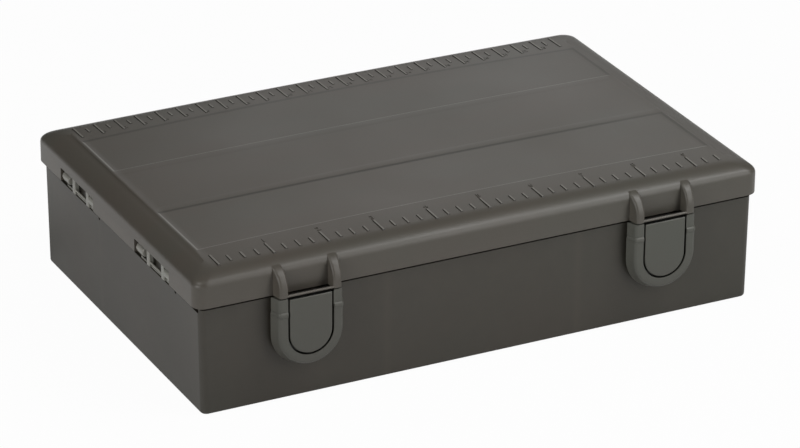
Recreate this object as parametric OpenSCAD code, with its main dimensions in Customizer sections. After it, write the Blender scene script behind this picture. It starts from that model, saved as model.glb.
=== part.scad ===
// Hinged-lid tackle box with two front latches, four side clips and removable dividers.
// Millimetres, +Z up. X runs along the front, +Y to the rear.
// Origin: on the surface the box stands on, below the middle of the closed box.

/* [Overall size] */
// Width of the lid, left to right
lid_w = 270.5; // [240:0.5:300]
// Depth of the lid, front to back
lid_d = 174; // [160:0.5:200]
// Height of the closed box
box_h = 66.5; // [56:0.1:90]

/* [Lid] */
// Height of the lid, from the edge of its skirt to its top
lid_h = 16.2; // [15:0.1:19]
// Thickness of the lid's skirt and top
lid_wall = 1.6; // [1.2:0.1:1.8]
// Corner radius of the lid in plan
lid_corner_r = 5.5; // [4:0.5:8]
// Radius of the shoulder next to the flat top
shoulder_upper_r = 14.5; // [11:0.5:16]
// Radius of the shoulder next to the skirt
shoulder_lower_r = 4.5; // [3.5:0.1:6]
// Angle through which the upper shoulder turns
shoulder_turn = 37; // [30:1:42]

/* [Lid relief] */
// Distance from the lid's sides to the sunk panels
panel_side = 11.8; // [11.5:0.1:30]
// Distance from the lid's front edge to the front panel
panel_front = 27.5; // [25:0.5:30]
// Depth of the front panel, front to back
front_panel_d = 39.2; // [20:0.1:45]
// Distance from the lid's rear edge to the rear panel
panel_rear = 23.6; // [22:0.1:30]
// Depth of the rear panel, front to back
rear_panel_d = 36.7; // [20:0.1:42]
// How far the two panels are sunk
panel_sink = 0.6; // [0.2:0.1:0.8]
// Flat left between a panel and the middle band
band_land = 4.2; // [2:0.1:8]
// Distance from the lid's sides to the middle band
band_side = 11; // [11:0.5:30]
// How far the middle band is sunk
band_sink = 0.3; // [0.1:0.1:0.6]

/* [Rulers] */
// Height of the ruler marks above the top
mark_raise = 0.15; // [0.05:0.05:0.3]
// Width of one ruler mark
mark_w = 0.8; // [0.3:0.05:1.2]
// Least distance from a ruler's end to the lid's side
ruler_side = 12; // [11:0.5:30]
// Spacing of the front marks, a quarter of an inch
front_pitch = 6.35; // [5:0.05:6.4]
// Length of the long front marks
front_long = 12.5; // [8:0.5:14]
// Length of the half-way front marks
front_half = 8; // [5:0.5:10]
// Length of the short front marks
front_short = 6; // [3:0.5:8]
// Distance from the lid's front edge to the outer end of the long front marks
front_mark_edge = 11.2; // [11:0.1:14]
// Spacing of the rear marks
rear_pitch = 5; // [3:0.5:5]
// Length of the long rear marks
rear_long = 11.5; // [8:0.5:12]
// Length of the short rear marks
rear_short = 4.5; // [2:0.5:7]
// Distance from the lid's rear edge to the outer end of the rear marks
rear_mark_edge = 11.2; // [11:0.1:12]

/* [Base] */
// How far the base's side walls stand inside the lid's
base_in_x = 2.5; // [2.3:0.1:4]
// How far the base's front and rear walls stand inside the lid's
base_in_y = 1.9; // [1.9:0.1:3]
// Thickness of the base's walls
base_wall = 2.2; // [1.8:0.1:3]
// Thickness of the base's floor
floor_t = 2.2; // [1.5:0.1:4]
// Corner radius of the base in plan
base_corner_r = 3; // [2.5:0.5:6]
// Radius along the base's bottom edge
bottom_r = 1.5; // [0.5:0.1:2]
// Height by which the base's lip rises inside the lid
lip_h = 10.5; // [8:0.1:10.8]
// How far the lip is stepped in from the base's walls
lip_step = 0.5; // [0.3:0.1:0.8]
// Gap between the skirt's edge and the step below it
step_gap = 0.8; // [0.5:0.1:1.5]

/* [Dividers] */
// Thickness of the dividers
divider_t = 1.6; // [1:0.1:2.5]
// Distance of the long divider behind the middle of the box
long_divider_y = 22; // [-30:1:30]
// Distance of the cross dividers from the middle of the box
cross_divider_x = 46; // [30:1:90]
// Clearance between a divider and what holds it
divider_fit = 0.2; // [0.1:0.05:0.3]
// Width of a guide rib
guide_w = 1.2; // [0.8:0.1:2]
// Height of a guide rib off its wall
guide_h = 1.6; // [1:0.1:3]

/* [Latches] */
// Distance of each latch's middle from the side of the lid
latch_side = 50.2; // [25:0.1:90]
// How far the latches stand in front of the skirt
latch_out = 5.5; // [4.5:0.1:7]
// Radius of the bar each latch hangs on
bar_r = 1.1; // [0.8:0.05:1.3]
// Height of the bar's underside above the skirt's edge
bar_lift = 0.2; // [0:0.1:1]
// Half of the space between a latch's two rails
rail_in = 10.2; // [8:0.1:12]
// Width of one rail
rail_w = 4.2; // [3:0.1:6]
// Height of the rails' upright front above the skirt's edge
rail_h = 9.9; // [6:0.1:10]
// Radius at the top of the rails' front
rail_round = 1.3; // [0.5:0.1:2]
// Slope of the rails' tops
rail_slope = 18.5; // [14:0.5:20]
// How far the rails' tips reach back over the shoulder
rail_reach = 3.8; // [2:0.1:5]
// Gap between a latch and the rails above it
latch_seam = 0.5; // [0.4:0.1:1]
// Height of the latch from its tip to its seam
latch_h = 31.1; // [26:0.1:40]
// Half-width of the latch at its front
latch_front_half = 14.5; // [13:0.1:18]
// How much each flank widens towards the back
latch_flare = 1.8; // [0:0.1:3]
// Depth of the latch, front to back
latch_t = 5.1; // [4.6:0.1:5.5]
// Half-width of the tongue
tongue_half = 9.8; // [7:0.1:9.9]
// Width of the slit round the tongue
slit_w = 0.8; // [0.4:0.1:1.2]
// Thickness of the tongue
tongue_t = 2.6; // [2:0.1:3]
// Thickness of the plate behind the tongue
latch_plate = 1.2; // [0.8:0.1:1.4]
// Thickness of the hook round the bar
hook_t = 1.24; // [0.8:0.02:1.4]
// Clearance between the hook and the bar
hook_fit = 0.06; // [0.02:0.01:0.1]
// Distance from the seam to the ridge across the arms
ridge_drop = 7.3; // [4:0.1:12]
// Height of the ridge
ridge_h = 1; // [0.5:0.1:2]
// How far the ridge stands out
ridge_out = 0.4; // [0.25:0.05:0.8]
// How far the arms stand out below the ridge
arm_out = 0.2; // [0:0.05:0.25]
// Height of the catch rib above the latch's tip
catch_up = 7; // [5:0.1:12]
// Height of the catch rib and of the latch's lip
catch_h = 1.4; // [0.8:0.1:2]
// Half-length of the catch rib and of the lip
catch_half = 8; // [4:0.5:9]
// Clearance at the catch
catch_fit = 0.3; // [0.2:0.05:0.5]

/* [Hinges] */
// Distance of each hinge's middle from the side of the lid
hinge_side = 55; // [32:1:90]
// Distance of the hinge axis behind the skirt
hinge_out = 3.2; // [3.1:0.1:5]
// Height of the hinge axis above the skirt's edge
hinge_up = 0.2; // [0:0.1:1]
// Radius of the hinge pins
pin_r = 1.2; // [0.8:0.05:1.5]
// Clearance between a pin and its bores
pin_fit = 0.05; // [0.02:0.01:0.1]
// Length of a hinge
hinge_len = 40; // [24:1:60]
// Length of the lid's knuckle
lid_knuckle = 16; // [8:1:20]
// Gap between neighbouring knuckles
knuckle_gap = 0.4; // [0.2:0.1:1]
// Radius of a pin's head
pin_head_r = 2; // [1.7:0.1:2.5]
// Thickness of a pin's head
pin_head_t = 1; // [0.5:0.1:2]
// Height of the bracket that carries the base's knuckles
bracket_h = 8; // [5:0.5:14]
// Height of the web that carries the lid's knuckle
web_h = 6; // [4:0.5:8]

/* [Side clips] */
// Distance of each clip's middle from the front or rear edge of the lid
clip_end = 46.1; // [30:0.1:55]
// Half-length of the notch in the skirt
notch_half = 20.1; // [19:0.1:22]
// Height of the notch
notch_h = 6.4; // [5:0.1:7]
// Half-length of a clip
clip_half = 18.2; // [17.8:0.1:18.8]
// Height of a clip
clip_h = 8.7; // [8:0.1:9]
// How far a clip reaches below the skirt's edge
clip_low = 3; // [2:0.1:4]
// Depth of the clip's seat in the wall
clip_seat = 1; // [0.7:0.1:1.2]
// Thickness of the clip's plate
clip_plate = 0.4; // [0.3:0.1:0.6]
// How far the clip's knobs stand out of the base's wall
clip_out = 0.85; // [0.5:0.05:1]
// Distance of a knob from the middle of the clip
knob_at = 13.8; // [13.4:0.1:13.9]
// Half-length of a knob
knob_half = 3.85; // [3:0.05:3.9]
// Radius of a knob's face
knob_r = 2.3; // [2:0.1:2.5]
// Height of the knobs' middle above the skirt's edge
knob_up = 1.7; // [1:0.1:2]
// Distance of a rib from the middle of the clip
clip_rib_at = 7.8; // [7:0.1:8]
// Width of a clip's rib
clip_rib_w = 2.8; // [1.5:0.1:3]
// How much lower than the knobs the ribs stand
clip_rib_in = 0.25; // [0:0.05:0.5]
// Half-length of the slot in a clip
slot_half = 6.2; // [4:0.1:6.3]
// Height of the slot
slot_h = 4; // [3:0.1:4.5]
// Radius of the thin bar along the slot
slot_bar_r = 0.4; // [0.3:0.05:0.6]
// How far the slot is sunk into the wall behind the clip
slot_sink = 0.5; // [0.2:0.1:0.6]

/* [Hidden] */
$fn = 96;
tiny = 0.01;

hw = lid_w / 2;
hd = lid_d / 2;
skirt_z = box_h - lid_h;
top_z = box_h - mark_raise;
shoulder_w = shoulder_upper_r * sin(shoulder_turn)
    + shoulder_lower_r * (1 - sin(shoulder_turn));
shoulder_h = shoulder_upper_r * (1 - cos(shoulder_turn))
    + shoulder_lower_r * cos(shoulder_turn);

latch_x = hw - latch_side;
hinge_x = hw - hinge_side;
clip_y = hd - clip_end;
front_steps = floor((hw - ruler_side) / front_pitch);
rear_steps = floor((hw - ruler_side) / rear_pitch);

base_hw = hw - base_in_x;
base_hd = hd - base_in_y;
step_z = skirt_z - step_gap;
lip_z = skirt_z + lip_h;
room_hw = base_hw - base_wall;
room_hd = base_hd - base_wall;
room_corner_r = max(base_corner_r - base_wall, 0.8);

latch_front_y = -hd - latch_out;
bar_y = latch_front_y + bar_r;
bar_z = skirt_z + bar_lift + bar_r;
rail_out = rail_in + rail_w;
latch_top = skirt_z + bar_lift - latch_seam;
latch_tip = latch_top - latch_h;
latch_c = latch_tip + latch_front_half + arm_out;
latch_back_y = latch_front_y + latch_t;
latch_back_half = latch_front_half + latch_flare;
tongue_back_y = latch_front_y + tongue_t;
plate_back_y = tongue_back_y + latch_plate;
pocket_half = tongue_half + slit_w;
hook_in = bar_r + hook_fit;
hook_out = hook_in + hook_t;
ridge_z = latch_top - ridge_drop;
catch_z = latch_tip + catch_up;

hinge_y = hd + hinge_out;
hinge_z = skirt_z + hinge_up;
hinge_r = latch_out + ridge_out - hinge_out;
base_knuckle = (hinge_len - lid_knuckle) / 2 - knuckle_gap;

clip_z = skirt_z - clip_low;
seat_x = base_hw - clip_seat;
knob_z = skirt_z + knob_up;

dark_olive = [0.33, 0.32, 0.29];
olive = [0.35, 0.35, 0.32];
grey_olive = [0.45, 0.45, 0.42];
steel = [0.62, 0.62, 0.62];

// ---- Shared shapes ----

// Rectangle with round corners, centred
module round_rect(w, d, r) {
    square([w - 2 * r, d], center = true);
    square([w, d - 2 * r], center = true);
    for (x = [-1, 1], y = [-1, 1])
        translate([x * (w / 2 - r), y * (d / 2 - r)])
            circle(r = r);
}

// Runs a side profile (across, up) along X, over a half-length
module along_x(half) {
    rotate([90, 0, 90])
        translate([0, 0, -half])
            linear_extrude(2 * half)
                children();
}

// Runs a front profile (across, up) along Y, over a half-length
module along_y(half) {
    rotate([90, 0, 0])
        translate([0, 0, -half])
            linear_extrude(2 * half)
                children();
}

// Bar of round section along X, centred on a point
module bar_x(at, r, half) {
    translate(at)
        rotate([0, 90, 0])
            cylinder(r = r, h = 2 * half, center = true);
}

// Block from one corner to the other
module block(low, high) {
    translate(low)
        cube(high - low);
}

// ---- Lid ----

// Section of the lid, taken in by t, down to a given height
module lid_section(half, t, foot) {
    upper = [half - shoulder_w, top_z - shoulder_upper_r];
    lower = [half - shoulder_lower_r, top_z - shoulder_h];
    beyond = lower + [sin(shoulder_turn), cos(shoulder_turn)] * 2 * shoulder_lower_r;
    translate([-upper.x, foot])
        square([2 * upper.x, top_z - t - foot]);
    translate([t - half, foot])
        square([2 * (half - t), lower.y - foot]);
    for (side = [0, 1])
        mirror([side, 0]) {
            intersection() {
                translate(lower)
                    circle(r = shoulder_lower_r - t);
                translate(lower)
                    square(shoulder_lower_r);
            }
            intersection() {
                translate(upper)
                    circle(r = shoulder_upper_r - t, $fn = 160);
                polygon([upper, lower, beyond, [upper.x, beyond.y + 9]]);
            }
        }
}

module lid_form(t, foot) {
    intersection() {
        along_y(hd)
            lid_section(hw, t, foot);
        along_x(hw)
            lid_section(hd, t, foot);
        translate([0, 0, foot])
            linear_extrude(lid_h + 20)
                round_rect(lid_w - 2 * t, lid_d - 2 * t, lid_corner_r - t);
    }
}

// Side view of one rail, from its round lower edge to its tip on the shoulder
module rail_section() {
    turn = [latch_front_y + rail_round, skirt_z + rail_h];
    crest = turn + rail_round * [-sin(rail_slope), cos(rail_slope)];
    tip_y = -hd + rail_reach;
    tip = [tip_y, crest.y + (tip_y - crest.x) * tan(rail_slope)];
    translate([bar_y, bar_z])
        circle(r = bar_r);
    translate(turn)
        circle(r = rail_round);
    polygon([
        [bar_y, bar_z - bar_r],
        [tip_y, bar_z - bar_r],
        tip,
        crest,
        turn,
        [latch_front_y, turn.y],
        [latch_front_y, bar_z],
        [bar_y, bar_z]
    ]);
}

module latch_rails() {
    for (side = [-1, 1])
        translate([side * (rail_in + rail_w / 2), 0, 0])
            along_x(rail_w / 2)
                rail_section();
    bar_x([0, bar_y, bar_z], bar_r, rail_out);
}

// One raised mark across a ruler, from its outer to its inner end
module ruler_mark(x, outer_y, inner_y) {
    block(
        [x - mark_w / 2, min(outer_y, inner_y), top_z - mark_raise],
        [x + mark_w / 2, max(outer_y, inner_y), box_h]
    );
}

module ruler_marks() {
    front_y = front_mark_edge - hd;
    rear_y = hd - rear_mark_edge;
    for (i = [-front_steps : front_steps]) {
        place = (i + front_steps) % 4;
        len = place == 0 ? front_long : (place == 2 ? front_half : front_short);
        ruler_mark(i * front_pitch, front_y, front_y + len);
    }
    for (i = [-rear_steps : rear_steps])
        ruler_mark(i * rear_pitch, rear_y, rear_y - (i % 2 == 0 ? rear_long : rear_short));
}

module lid_relief() {
    front_y = -hd + panel_front;
    rear_y = hd - panel_rear;
    block(
        [panel_side - hw, front_y, top_z - panel_sink],
        [hw - panel_side, front_y + front_panel_d, box_h + 1]
    );
    block(
        [panel_side - hw, rear_y - rear_panel_d, top_z - panel_sink],
        [hw - panel_side, rear_y, box_h + 1]
    );
    block(
        [band_side - hw, front_y + front_panel_d + band_land, top_z - band_sink],
        [hw - band_side, rear_y - rear_panel_d - band_land, box_h + 1]
    );
}

// The lid's knuckle and the web that joins it to the rear skirt
module lid_hinge_knuckle() {
    difference() {
        union() {
            bar_x([0, hinge_y, hinge_z], hinge_r, lid_knuckle / 2);
            along_x(lid_knuckle / 2)
                polygon([
                    [hd - lid_wall / 2, hinge_z + 1],
                    [hinge_y, hinge_z],
                    [hinge_y + hinge_r * cos(40), hinge_z + hinge_r * sin(40)],
                    [hd - lid_wall / 2, hinge_z + hinge_r * sin(40) + web_h]
                ]);
        }
        bar_x([0, hinge_y, hinge_z], pin_r + pin_fit, lid_knuckle);
    }
}

module skirt_notches() {
    for (x = [-hw, hw], y = [-clip_y, clip_y])
        translate([x, y, skirt_z])
            cube([2 * (base_in_x + lip_step), 2 * notch_half, 2 * notch_h], center = true);
}

module lid() {
    color(dark_olive) {
        difference() {
            union() {
                lid_form(0, skirt_z);
                for (side = [-1, 1])
                    translate([side * latch_x, 0, 0])
                        latch_rails();
            }
            lid_form(lid_wall, skirt_z - 5);
            lid_relief();
            skirt_notches();
        }
        for (side = [-1, 1])
            translate([side * hinge_x, 0, 0])
                lid_hinge_knuckle();
        ruler_marks();
    }
}

// ---- Base ----

// Section of the base with its round bottom edges
module base_section(half) {
    translate([-half, bottom_r])
        square([2 * half, step_z - bottom_r]);
    translate([bottom_r - half, 0])
        square([2 * (half - bottom_r), step_z]);
    for (side = [-1, 1])
        translate([side * (half - bottom_r), bottom_r])
            circle(r = bottom_r);
}

module base_form() {
    intersection() {
        along_y(base_hd)
            base_section(base_hw);
        along_x(base_hw)
            base_section(base_hd);
        linear_extrude(step_z)
            round_rect(2 * base_hw, 2 * base_hd, base_corner_r);
    }
    translate([0, 0, step_z - 1])
        linear_extrude(lip_z - step_z + 1)
            round_rect(
                2 * (base_hw - lip_step),
                2 * (base_hd - lip_step),
                base_corner_r - lip_step
            );
}

// Two guide ribs standing off a wall at Y = 0 towards +Y, either side of a divider
module guide_pair(top) {
    slot = divider_t / 2 + divider_fit;
    for (side = [0, 1])
        mirror([side, 0, 0])
            block([slot, -tiny, 0], [slot + guide_w, guide_h, top]);
}

module base_guides() {
    rise = lip_z - floor_t;
    translate([0, 0, floor_t]) {
        for (x = [-cross_divider_x, cross_divider_x]) {
            translate([x, -room_hd, 0])
                guide_pair(rise);
            translate([x, room_hd, 0])
                mirror([0, 1, 0])
                    guide_pair(rise);
        }
        for (turn = [-90, 90])
            translate([-sign(turn) * -room_hw, long_divider_y, 0])
                rotate([0, 0, turn])
                    guide_pair(rise);
    }
}

// Rib on the front wall, just above the latch's lip
module catch_rib() {
    block(
        [-catch_half, latch_back_y + catch_fit, catch_z],
        [catch_half, tiny - base_hd, catch_z + catch_h]
    );
}

// Knuckles of one hinge with the brackets that join them to the rear wall
module base_hinge_knuckles() {
    for (side = [-1, 1])
        translate([side * (hinge_len - base_knuckle) / 2, 0, 0])
            difference() {
                union() {
                    bar_x([0, hinge_y, hinge_z], hinge_r, base_knuckle / 2);
                    along_x(base_knuckle / 2)
                        polygon([
                            [base_hd - tiny, hinge_z - bracket_h],
                            [base_hd - tiny, step_z],
                            [hd + hinge_out / 2, step_z],
                            [hinge_y, hinge_z],
                            [hinge_y + hinge_r * cos(40), hinge_z - hinge_r * sin(40)]
                        ]);
                }
                bar_x([0, hinge_y, hinge_z], pin_r + pin_fit, base_knuckle);
            }
}

// Seat sunk into the right side wall for one clip, with the deeper slot behind it
module clip_seat_cut() {
    fit = 0.1;
    block(
        [seat_x, -clip_half - fit, clip_z - fit],
        [base_hw + 1, clip_half + fit, clip_z + clip_h + fit]
    );
    block(
        [seat_x - slot_sink, -slot_half, knob_z - slot_h / 2],
        [base_hw + 1, slot_half, knob_z + slot_h / 2]
    );
}

module base() {
    color(olive)
        difference() {
            union() {
                difference() {
                    base_form();
                    translate([0, 0, floor_t])
                        linear_extrude(box_h)
                            round_rect(2 * room_hw, 2 * room_hd, room_corner_r);
                }
                base_guides();
                for (side = [-1, 1]) {
                    translate([side * latch_x, 0, 0])
                        catch_rib();
                    translate([side * hinge_x, 0, 0])
                        base_hinge_knuckles();
                }
            }
            for (side = [0, 1], y = [-clip_y, clip_y])
                mirror([side, 0, 0])
                    translate([0, y, 0])
                        clip_seat_cut();
        }
}

// ---- Latches ----

// Body of a latch with sloping flanks, all its outer faces moved out by grow
module latch_block(grow, low, high) {
    translate([0, 0, low])
        linear_extrude(high - low)
            polygon([
                [-latch_back_half - grow, latch_back_y],
                [-latch_front_half - grow, latch_front_y - grow],
                [latch_front_half + grow, latch_front_y - grow],
                [latch_back_half + grow, latch_back_y]
            ]);
}

module latch_rounding(grow) {
    translate([0, latch_back_y, latch_c])
        rotate([90, 0, 0])
            cylinder(
                r1 = latch_back_half + grow,
                r2 = latch_front_half + grow,
                h = latch_t + grow
            );
}

// D-shaped block from one depth to another
module tongue_shape(half, near_y, far_y, top) {
    block([-half, near_y, latch_c], [half, far_y, top]);
    translate([0, far_y, latch_c])
        rotate([90, 0, 0])
            cylinder(r = half, h = far_y - near_y);
}

module latch_rim() {
    hollow_half = latch_front_half - 2;
    color(olive)
        difference() {
            union() {
                latch_rounding(arm_out);
                latch_block(arm_out, latch_c, ridge_z);
                latch_block(0, latch_c, latch_top);
                latch_block(ridge_out, ridge_z - ridge_h / 2, ridge_z + ridge_h / 2);
            }
            tongue_shape(pocket_half, latch_front_y - 2, tongue_back_y, latch_top + 1);
            block(
                [-pocket_half, latch_front_y - 2, bar_z - hook_out - 0.1],
                [pocket_half, latch_back_y + 1, latch_top + 1]
            );
            difference() {
                tongue_shape(hollow_half, plate_back_y, latch_back_y + 1, latch_top - 3);
                block(
                    [-catch_half, plate_back_y - 1, catch_z - catch_fit - catch_h],
                    [catch_half, latch_back_y, catch_z - catch_fit]
                );
            }
        }
}

// Hook that turns on the bar: a ring left open at the front and above
module hook_section() {
    difference() {
        circle(r = hook_out);
        circle(r = hook_in);
        polygon([
            [0, 0],
            for (a = [75 : 34 : 245]) 2 * hook_out * [cos(a), sin(a)]
        ]);
    }
}

module latch_tongue() {
    color(olive)
        difference() {
            union() {
                tongue_shape(tongue_half, latch_front_y, tongue_back_y, latch_top);
                along_x(tongue_half)
                    translate([bar_y, bar_z])
                        hook_section();
            }
            bar_x([0, bar_y, bar_z], hook_in, tongue_half + 1);
        }
}

module latch_rim_left() { translate([-latch_x, 0, 0]) latch_rim(); }
module latch_rim_right() { translate([latch_x, 0, 0]) latch_rim(); }
module latch_tongue_left() { translate([-latch_x, 0, 0]) latch_tongue(); }
module latch_tongue_right() { translate([latch_x, 0, 0]) latch_tongue(); }

// ---- Hinge pins ----

// Pin with its head at the end away from the middle of the box
module hinge_pin(side) {
    color(steel) {
        bar_x([side * hinge_x, hinge_y, hinge_z], pin_r, hinge_len / 2);
        bar_x(
            [side * (hinge_x + (hinge_len + pin_head_t) / 2), hinge_y, hinge_z],
            pin_head_r,
            pin_head_t / 2
        );
    }
}

module hinge_pin_left() { hinge_pin(-1); }
module hinge_pin_right() { hinge_pin(1); }

// ---- Dividers ----

// Upright plate between two points on the floor, thickness centred on the line
module divider_plate(low, high) {
    block([low.x, low.y, floor_t], [high.x, high.y, lip_z]);
}

module divider_long() {
    color(olive) {
        divider_plate(
            [divider_fit - room_hw, long_divider_y - divider_t / 2],
            [room_hw - divider_fit, long_divider_y + divider_t / 2]
        );
        for (x = [-cross_divider_x, cross_divider_x], side = [0, 1])
            translate([x, long_divider_y, floor_t])
                mirror([0, side, 0])
                    translate([0, divider_t / 2, 0])
                        guide_pair(lip_z - floor_t);
    }
}

module cross_divider(x, low_y, high_y) {
    color(olive)
        divider_plate(
            [x - divider_t / 2, low_y + divider_fit],
            [x + divider_t / 2, high_y - divider_fit]
        );
}

module front_divider(x) { cross_divider(x, -room_hd, long_divider_y - divider_t / 2); }
module rear_divider(x) { cross_divider(x, long_divider_y + divider_t / 2, room_hd); }
module divider_front_left() { front_divider(-cross_divider_x); }
module divider_front_right() { front_divider(cross_divider_x); }
module divider_rear_left() { rear_divider(-cross_divider_x); }
module divider_rear_right() { rear_divider(cross_divider_x); }

// ---- Side clips ----

// Clip on the right side wall: a slotted plate with two ribs, two round knobs and a thin bar
module clip() {
    face_x = base_hw + clip_out;
    color(grey_olive) {
        difference() {
            block([seat_x, -clip_half, clip_z], [seat_x + clip_plate, clip_half, clip_z + clip_h]);
            block(
                [seat_x - 1, -slot_half, knob_z - slot_h / 2],
                [face_x, slot_half, knob_z + slot_h / 2]
            );
        }
        intersection() {
            for (side = [-1, 1])
                translate([face_x - knob_r, side * knob_at, knob_z])
                    rotate([90, 0, 0])
                        cylinder(r = knob_r, h = 2 * knob_half, center = true);
            block([seat_x, -clip_half, clip_z], [face_x, clip_half, clip_z + clip_h]);
        }
        for (side = [-1, 1])
            block(
                [seat_x, side * clip_rib_at - clip_rib_w / 2, knob_z - knob_r - 1],
                [face_x - clip_rib_in, side * clip_rib_at + clip_rib_w / 2, clip_z + clip_h]
            );
        translate([base_hw, 0, knob_z - slot_h / 4])
            rotate([90, 0, 0])
                cylinder(r = slot_bar_r, h = 2 * clip_rib_at, center = true);
    }
}

module clip_right_front() { translate([0, -clip_y, 0]) clip(); }
module clip_right_rear() { translate([0, clip_y, 0]) clip(); }
module clip_left_front() { mirror([1, 0, 0]) clip_right_front(); }
module clip_left_rear() { mirror([1, 0, 0]) clip_right_rear(); }

base();
lid();
latch_rim_left();
latch_rim_right();
latch_tongue_left();
latch_tongue_right();
hinge_pin_left();
hinge_pin_right();
divider_long();
divider_front_left();
divider_front_right();
divider_rear_left();
divider_rear_right();
clip_left_front();
clip_left_rear();
clip_right_front();
clip_right_rear();
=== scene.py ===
from math import cos, hypot, pi, radians, sin, tan

import bmesh
import bpy
from mathutils import Matrix, Vector


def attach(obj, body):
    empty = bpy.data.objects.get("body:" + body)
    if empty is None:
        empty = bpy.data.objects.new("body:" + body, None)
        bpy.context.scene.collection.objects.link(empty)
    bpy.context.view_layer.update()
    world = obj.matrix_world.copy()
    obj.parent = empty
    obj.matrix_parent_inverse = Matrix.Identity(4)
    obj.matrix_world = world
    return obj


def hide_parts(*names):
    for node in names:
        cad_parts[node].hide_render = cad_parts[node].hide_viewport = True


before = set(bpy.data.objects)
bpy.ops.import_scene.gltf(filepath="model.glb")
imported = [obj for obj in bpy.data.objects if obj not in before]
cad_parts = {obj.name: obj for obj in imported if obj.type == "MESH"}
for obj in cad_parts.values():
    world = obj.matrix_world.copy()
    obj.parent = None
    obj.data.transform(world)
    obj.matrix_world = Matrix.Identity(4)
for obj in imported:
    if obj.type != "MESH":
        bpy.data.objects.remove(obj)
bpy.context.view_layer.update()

# Sizes are in millimetres, with X along the front, +Y to the rear and +Z up from the table.
# The box is centred, so LID_X is half the lid's width and LATCH_X the right latch's middle.

# ---- Sizes of the lid ----

LID_X = 135.25
LID_Y = 87.0
SKIRT_Z = 50.3
TOP_Z = 66.3
LID_WALL = 1.6
LID_CORNER = 5.5
SKIRT_ROUND = 0.3

SHOULDER_UPPER = 14.5
SHOULDER_LOWER = 4.5
SHOULDER_TURN = radians(37)
SHOULDER_W = SHOULDER_UPPER * sin(SHOULDER_TURN) + SHOULDER_LOWER * (1 - sin(SHOULDER_TURN))
SHOULDER_H = SHOULDER_UPPER * (1 - cos(SHOULDER_TURN)) + SHOULDER_LOWER * cos(SHOULDER_TURN)
SHOULDER_Z = TOP_Z - SHOULDER_H
LOWER_RINGS = 5
UPPER_RINGS = 8

PANEL_X = LID_X - 11.8
FRONT_PANEL = (-61.9, -20.3)
BAND = (-16.1, 22.5)
REAR_PANEL = (26.9, 62.8)
PANEL_SINK = 0.36
BAND_SINK = 0.19
PANEL_WALL = 1.0
FRONT_BOW = 1.1
REAR_BOW = 2.8
BOW_REACH = 1.2

CROWN = 0.95
CROWN_CUTS = 12
CROWN_STEP = 10
BORDER_Y = 62.5
BORDER_W = 14
BORDER_TILT = 0.03

# ---- Sizes of the rulers ----

INCH = 25.4
CENTIMETRE = 10
MARK_RISE = 0.31
MARK_ROOT = 0.3
MARK_BASE = 1.75
MARK_CREST = 0.75
MARK_END_SLOPES = 0.5
FRONT_RULER_X = -4.75 * INCH
FRONT_RULER_Y = -LID_Y + 8.3
FRONT_SHORT_Y = FRONT_RULER_Y + 1.6
INCH_MARK = 10.2
HALF_INCH_MARK = 5.8
QUARTER_INCH_MARK = 5.4
REAR_RULER_X = -121.1
REAR_RULER_Y = LID_Y - 8.5
REAR_SHORT_Y = REAR_RULER_Y - 2.8
CM_MARK = 12
HALF_CM_MARK = 4.9
DIGIT_ROOT = 0.1
DIGIT_RISE = MARK_RISE * 0.4
DIGIT_ROUND = 0.06
INCH_DIGIT = 4.2
INCH_DIGIT_Y = FRONT_RULER_Y + 12.6
CM_DIGIT = 2.8
CM_DIGIT_Y = REAR_RULER_Y - 10

# ---- Sizes of the base ----

BASE_X = LID_X - 2.5
BASE_Y = LID_Y - 1.9
BASE_DRAFT = 0.6
BASE_WALL = 2.2
BASE_CORNER = 3
BASE_FOOT = 1.5
FLOOR = 2.2
STEP_Z = SKIRT_Z - 0.8
STEP_ROUND = 0.25
LIP_Z = SKIRT_Z + 10.5
LIP_STEP = 0.5
LIP_ROUND = 0.35
GROOVE_IN = 1.3
GROOVE_FRONT_Z = STEP_Z - 0.7
GROOVE_SIDE_Z = STEP_Z - 2.2
ROOM_X = BASE_X - BASE_WALL
ROOM_Y = BASE_Y - BASE_WALL
DIVIDER_Y = 22
DIVIDER_X = 46
GUIDE_SLOT = 1.0
GUIDE_W = 1.2
GUIDE_H = 1.6
GUIDE_ROOT = 0.3

# ---- Sizes of the latches ----

LATCH_X = LID_X - 50.2
LATCH_FRONT = -LID_Y - 5.5
LATCH_DEPTH = 5.1
LATCH_BACK = LATCH_FRONT + LATCH_DEPTH
BAR_R = 1.1
BAR_Y = LATCH_FRONT + BAR_R
BAR_Z = SKIRT_Z + 0.2 + BAR_R
THIN_BAR_R = 0.55
THIN_BAR_Y = LATCH_FRONT + 0.2 + THIN_BAR_R
THIN_BAR_Z = BAR_Z - BAR_R + THIN_BAR_R
RAIL_IN = 10.3
RAIL_W = 3.9
RAIL_RISE = 10.83
RAIL_ROUND = 10.5
RAIL_SLOPE = radians(18.5)
RAIL_FLARE = 0.16
RAIL_BACK = -LID_Y + 4.8
RAIL_EDGE = 1.1
LATCH_TOP = SKIRT_Z - 0.3
LATCH_TIP = LATCH_TOP - 31.9
ARM_OUT = 0.2
FRONT_HALF = 14.5 + ARM_OUT
BACK_HALF = 16.3 + ARM_OUT
LATCH_C = LATCH_TIP + FRONT_HALF
POCKET_HALF = 10.6
RIM_ROUND = 1.1
HOLLOW_HALF = 12.5
HOLLOW_FRONT = 1.2
HOLLOW_TOP = LATCH_TOP - 3
TONGUE_HALF = 9.8
TONGUE_T = 2.6
TONGUE_TOP = LATCH_TOP - 0.6
HOOK_IN = BAR_R + 0.15
HOOK_OUT = HOOK_IN + 1.4
HOOK_START = radians(30)
HOOK_TURN = radians(32)
RIDGE_Z = LATCH_TOP - 7.3
RIDGE_H = 2.6
RIDGE_OUT = 0.4
RIDGE_SIDE = 0.45
RIDGE_SPREAD = 1.5
CATCH_HALF = 8
CATCH_T = 1.4
CATCH_ROUND = 0.4
CATCH_LIP_Z = LATCH_TIP + 5.3
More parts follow.
